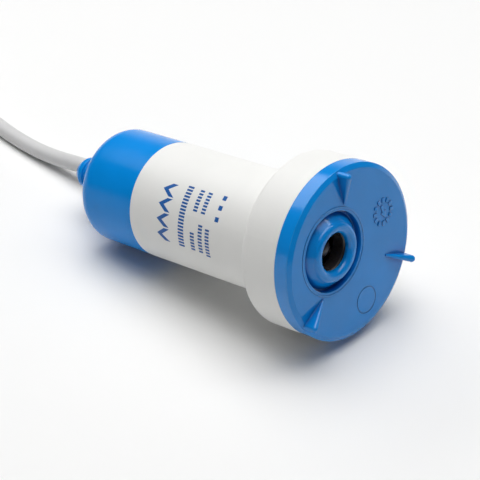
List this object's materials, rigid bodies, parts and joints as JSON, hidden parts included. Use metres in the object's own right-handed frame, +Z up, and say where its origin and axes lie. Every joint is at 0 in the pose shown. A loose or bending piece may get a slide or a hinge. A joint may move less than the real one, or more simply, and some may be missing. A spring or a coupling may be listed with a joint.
{
  "type": "caravan water pump",
  "caption": "Small submersible water pump with an eccentric pump collar, a finned inlet foot, a hose tail and a supply cable, lying on its side.",
  "frame": {"origin": "on the floor, under the centre of the pump's box without its free cable", "axes": "+X from the cap to the foot along the floor, +Z up, +Y away from the side that the flush side faces; the pump lies tilted on its collar and cap edges"},
  "size_m": [0.3071, 0.0598, 0.0586],
  "materials": {
    "white_plastic": "satin moulding",
    "blue_plastic": "satin moulding",
    "grey_plastic": "plain moulding",
    "black_plastic": "plain moulding",
    "black_rubber": "smooth",
    "grey_rubber": "smooth",
    "cable_sheath": "smooth sheath",
    "core_sleeve": "smooth insulation",
    "copper": "bright copper",
    "bronze": "sintered",
    "steel": "ground",
    "zinc_steel": "zinc plated",
    "magnet": "sintered ferrite",
    "lamination": "stamped steel",
    "tie_band": "plain band"
  },
  "bodies": {
    "pump": {"body_shell": "white_plastic", "foot_cover": "blue_plastic", "top_cap": "blue_plastic", "foot_seal": "black_rubber", "cap_seal": "black_rubber", "bulkhead": "grey_plastic", "shaft_seal": "black_rubber", "motor_sleeve": "grey_plastic", "sleeve_lid": "grey_plastic", "sleeve_seal": "black_rubber", "motor_can": "zinc_steel", "end_bell": "grey_plastic", "field_magnets": "magnet", "front_bush": "bronze", "rear_bush": "bronze", "brushes": "magnet", "brush_springs": "bronze", "terminals": "steel", "lead_wires": "core_sleeve", "inner_cable": "cable_sheath", "cable_grommet": "grey_rubber", "cable_run": "cable_sheath", "cable_coil": "cable_sheath", "coil_tie": "tie_band", "cable_cores": "core_sleeve", "core_tips": "copper"},
    "rotor": {"motor_shaft": "steel", "armature_core": "lamination", "armature_windings": "copper", "commutator": "copper", "thrust_washers": "grey_plastic", "impeller": "black_plastic", "impeller_eye": "black_plastic"}
  },
  "joints": [
    {"name": "rotor_spin", "type": "hinge", "parent": "pump", "child": "rotor", "pos_m": [0.05178, -0.00751, 0.03471], "axis": [-0.984, 0, -0.1779], "continuous": true}
  ]
}
